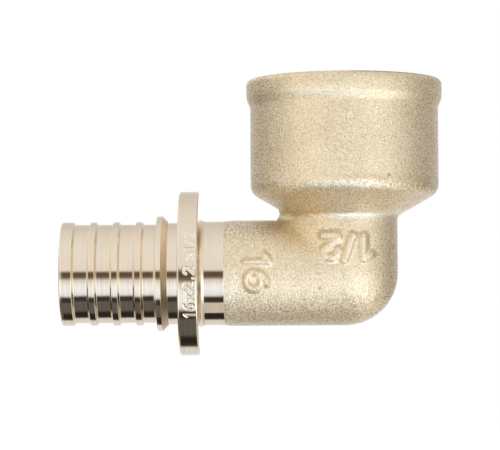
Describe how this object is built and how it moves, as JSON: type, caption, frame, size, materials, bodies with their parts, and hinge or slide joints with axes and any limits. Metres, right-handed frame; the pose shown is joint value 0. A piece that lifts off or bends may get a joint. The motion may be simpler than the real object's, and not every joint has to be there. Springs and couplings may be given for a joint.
{
  "type": "pex sleeve elbow",
  "caption": "Forged brass right-angle elbow: ribbed spigot with a collar for sliding-sleeve plastic pipe, and an internally threaded socket with a beaded mouth.",
  "frame": {"origin": "where the axis of the spigot meets the axis of the socket, the point that pipe runs are measured from", "axes": "+Z along the socket's axis, out of the threaded mouth; -X along the spigot's axis, out of its mouth; Y across both"},
  "size_m": [0.0514, 0.0264, 0.037],
  "materials": {
    "brass": "shot-blasted forging skin on the elbow and socket, bright turned metal on the spigot, collar, mouth and thread"
  },
  "bodies": {
    "root": {"elbow_body": "brass"}
  },
  "joints": []
}
